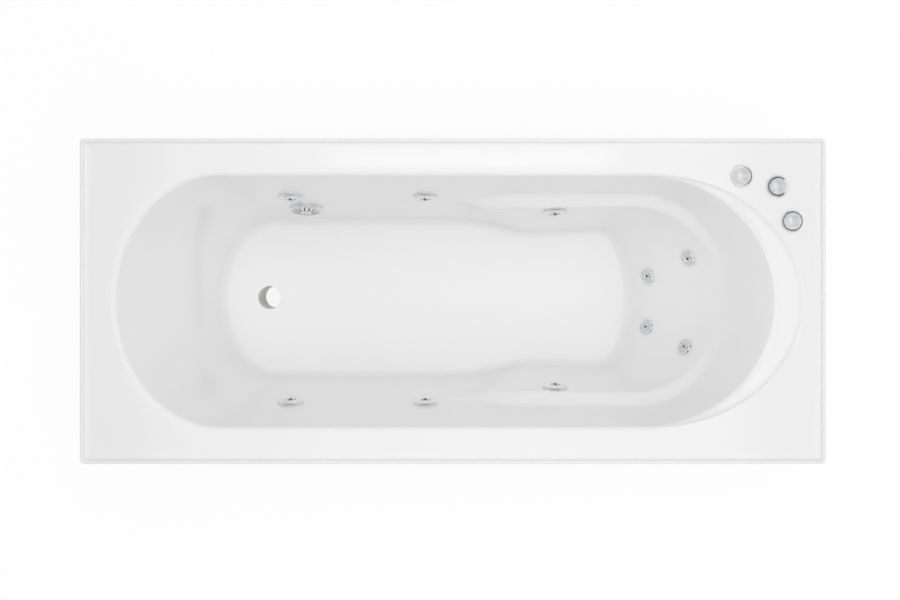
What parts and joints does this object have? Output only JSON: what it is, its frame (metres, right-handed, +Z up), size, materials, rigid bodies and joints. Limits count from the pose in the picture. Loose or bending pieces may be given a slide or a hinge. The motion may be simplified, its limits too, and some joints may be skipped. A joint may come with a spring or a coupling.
{
  "type": "jetted bathtub",
  "caption": "Rectangular built-in jetted bath with round-ended bowl, armrests, side and back jets, suction fitting, deck controls, cradle and underslung pump.",
  "frame": {"origin": "on the floor, under the middle of the rim", "axes": "+X from the waste end to the backrest and pump end, +Y towards the side with the suction fitting and the deck controls, +Z up"},
  "size_m": [1.65, 0.72, 0.552],
  "materials": {
    "white_acrylic": "high gloss",
    "chrome_trim": "polished",
    "satin_knob": "satin metallised",
    "steel_screw": "bright",
    "white_plastic": "moulded",
    "clear_tube": "flexible",
    "black_rubber": "matte",
    "sealed_board": "resin sealed",
    "galvanised_steel": "galvanised",
    "foot_plastic": "moulded",
    "pump_plastic": "moulded",
    "motor_casting": "cast",
    "stator_iron": "laminated",
    "ground_steel": "ground"
  },
  "bodies": {
    "bath": {"bath_shell": "white_acrylic", "side_jet_bodies": "white_plastic", "back_jet_bodies": "white_plastic", "back_jet_hoses": "clear_tube", "suction_body": "white_plastic", "suction_cover": "chrome_trim", "suction_screw": "steel_screw", "waste_spigot": "white_plastic", "air_control_bodies": "chrome_trim", "button_housing": "chrome_trim", "button_bellows": "black_rubber", "fitting_gaskets": "black_rubber", "fitting_locknuts": "white_plastic", "base_board": "sealed_board", "cradle_frame": "galvanised_steel", "board_screws": "steel_screw", "foot_locknuts": "galvanised_steel", "rim_battens": "sealed_board", "pump_volute": "pump_plastic", "pump_seal_plate": "pump_plastic", "pump_motor_housing": "motor_casting", "pump_stator": "stator_iron", "pump_bearings": "ground_steel", "pump_fan_cover": "pump_plastic", "pump_terminal_box": "pump_plastic", "pump_rubber_feet": "black_rubber", "jet_water_pipes": "white_plastic", "header_pipe": "white_plastic", "suction_pipe": "white_plastic", "air_pipes": "clear_tube", "button_air_tube": "clear_tube"},
    "side_jet_ring_1": {"side_jet_face_1": "chrome_trim"},
    "side_jet_eyeball_1": {"side_jet_nozzle_1": "chrome_trim"},
    "side_jet_ring_2": {"side_jet_face_2": "chrome_trim"},
    "side_jet_eyeball_2": {"side_jet_nozzle_2": "chrome_trim"},
    "side_jet_ring_3": {"side_jet_face_3": "chrome_trim"},
    "side_jet_eyeball_3": {"side_jet_nozzle_3": "chrome_trim"},
    "side_jet_ring_4": {"side_jet_face_4": "chrome_trim"},
    "side_jet_eyeball_4": {"side_jet_nozzle_4": "chrome_trim"},
    "side_jet_ring_5": {"side_jet_face_5": "chrome_trim"},
    "side_jet_eyeball_5": {"side_jet_nozzle_5": "chrome_trim"},
    "side_jet_ring_6": {"side_jet_face_6": "chrome_trim"},
    "side_jet_eyeball_6": {"side_jet_nozzle_6": "chrome_trim"},
    "back_jet_ring_1": {"back_jet_face_1": "chrome_trim"},
    "back_jet_ring_2": {"back_jet_face_2": "chrome_trim"},
    "back_jet_ring_3": {"back_jet_face_3": "chrome_trim"},
    "back_jet_ring_4": {"back_jet_face_4": "chrome_trim"},
    "air_control_1": {"air_knob_1": "satin_knob"},
    "air_control_2": {"air_knob_2": "satin_knob"},
    "start_button": {"button_cap": "satin_knob"},
    "pump_rotor": {"pump_shaft": "ground_steel", "pump_impeller": "pump_plastic", "pump_fan": "pump_plastic"},
    "foot_1": {"levelling_foot_1": "foot_plastic"},
    "foot_2": {"levelling_foot_2": "foot_plastic"},
    "foot_3": {"levelling_foot_3": "foot_plastic"},
    "foot_4": {"levelling_foot_4": "foot_plastic"}
  },
  "joints": [
    {"name": "side_jet_1_turn", "type": "hinge", "parent": "bath", "child": "side_jet_ring_1", "pos_m": [-0.386, 0.24704, 0.366], "axis": [0, -0.9815, 0.1914], "range_deg": [0, 120]},
    {"name": "side_jet_1_aim", "type": "hinge", "parent": "side_jet_ring_1", "child": "side_jet_eyeball_1", "pos_m": [-0.386, 0.24999, 0.36543], "axis": [1, 0, 0], "range_deg": [-12, 12]},
    {"name": "side_jet_2_turn", "type": "hinge", "parent": "bath", "child": "side_jet_ring_2", "pos_m": [-0.065, 0.24704, 0.366], "axis": [0, -0.9815, 0.1914], "range_deg": [0, 120]},
    {"name": "side_jet_2_aim", "type": "hinge", "parent": "side_jet_ring_2", "child": "side_jet_eyeball_2", "pos_m": [-0.065, 0.24999, 0.36543], "axis": [1, 0, 0], "range_deg": [-12, 12]},
    {"name": "side_jet_3_turn", "type": "hinge", "parent": "bath", "child": "side_jet_ring_3", "pos_m": [0.247, 0.21365, 0.34], "axis": [0.0328, -0.9777, 0.2073], "range_deg": [0, 120]},
    {"name": "side_jet_3_aim", "type": "hinge", "parent": "side_jet_ring_3", "child": "side_jet_eyeball_3", "pos_m": [0.2469, 0.21658, 0.33938], "axis": [0.9994, 0.0336, 0], "range_deg": [-12, 12]},
    {"name": "side_jet_4_turn", "type": "hinge", "parent": "bath", "child": "side_jet_ring_4", "pos_m": [-0.386, -0.24704, 0.366], "axis": [0, 0.9815, 0.1914], "range_deg": [0, 120]},
    {"name": "side_jet_4_aim", "type": "hinge", "parent": "side_jet_ring_4", "child": "side_jet_eyeball_4", "pos_m": [-0.386, -0.24999, 0.36543], "axis": [1, 0, 0], "range_deg": [-12, 12]},
    {"name": "side_jet_5_turn", "type": "hinge", "parent": "bath", "child": "side_jet_ring_5", "pos_m": [-0.065, -0.24704, 0.366], "axis": [0, 0.9815, 0.1914], "range_deg": [0, 120]},
    {"name": "side_jet_5_aim", "type": "hinge", "parent": "side_jet_ring_5", "child": "side_jet_eyeball_5", "pos_m": [-0.065, -0.24999, 0.36543], "axis": [1, 0, 0], "range_deg": [-12, 12]},
    {"name": "side_jet_6_turn", "type": "hinge", "parent": "bath", "child": "side_jet_ring_6", "pos_m": [0.247, -0.21365, 0.34], "axis": [0.0328, 0.9777, 0.2073], "range_deg": [0, 120]},
    {"name": "side_jet_6_aim", "type": "hinge", "parent": "side_jet_ring_6", "child": "side_jet_eyeball_6", "pos_m": [0.2469, -0.21658, 0.33938], "axis": [0.9994, -0.0336, 0], "range_deg": [-12, 12]},
    {"name": "back_jet_1_turn", "type": "hinge", "parent": "bath", "child": "back_jet_ring_1", "pos_m": [0.50111, 0.0565, 0.198], "axis": [-0.7681, -0.1462, 0.6234], "range_deg": [0, 90]},
    {"name": "back_jet_2_turn", "type": "hinge", "parent": "bath", "child": "back_jet_ring_2", "pos_m": [0.4971, -0.0745, 0.198], "axis": [-0.7652, 0.1959, 0.6133], "range_deg": [0, 90]},
    {"name": "back_jet_3_turn", "type": "hinge", "parent": "bath", "child": "back_jet_ring_3", "pos_m": [0.57816, 0.1005, 0.309], "axis": [-0.7565, -0.3403, 0.5585], "range_deg": [0, 90]},
    {"name": "back_jet_4_turn", "type": "hinge", "parent": "bath", "child": "back_jet_ring_4", "pos_m": [0.56913, -0.1185, 0.309], "axis": [-0.7366, 0.41, 0.5378], "range_deg": [0, 90]},
    {"name": "air_control_1_turn", "type": "hinge", "parent": "bath", "child": "air_control_1", "pos_m": [0.64, 0.277, 0.535], "axis": [0, 0, 1], "range_deg": [0, 180]},
    {"name": "air_control_2_turn", "type": "hinge", "parent": "bath", "child": "air_control_2", "pos_m": [0.752, 0.177, 0.535], "axis": [0, 0, 1], "range_deg": [0, 180]},
    {"name": "start_button_press", "type": "slide", "parent": "bath", "child": "start_button", "axis": [0, 0, -1], "range_m": [0, 0.004], "stiffness_N_per_m": 600, "springref_m": -0.001, "deforming": ["button_bellows"]},
    {"name": "pump_spin", "type": "hinge", "parent": "bath", "child": "pump_rotor", "pos_m": [0.702, 0.1, 0.186], "axis": [0, 1, 0], "continuous": true},
    {"name": "foot_1_adjust", "type": "slide", "parent": "bath", "child": "foot_1", "axis": [0, 0, 1], "range_m": [0, 0.02]},
    {"name": "foot_2_adjust", "type": "slide", "parent": "bath", "child": "foot_2", "axis": [0, 0, 1], "range_m": [0, 0.02]},
    {"name": "foot_3_adjust", "type": "slide", "parent": "bath", "child": "foot_3", "axis": [0, 0, 1], "range_m": [0, 0.02]},
    {"name": "foot_4_adjust", "type": "slide", "parent": "bath", "child": "foot_4", "axis": [0, 0, 1], "range_m": [0, 0.02]}
  ]
}
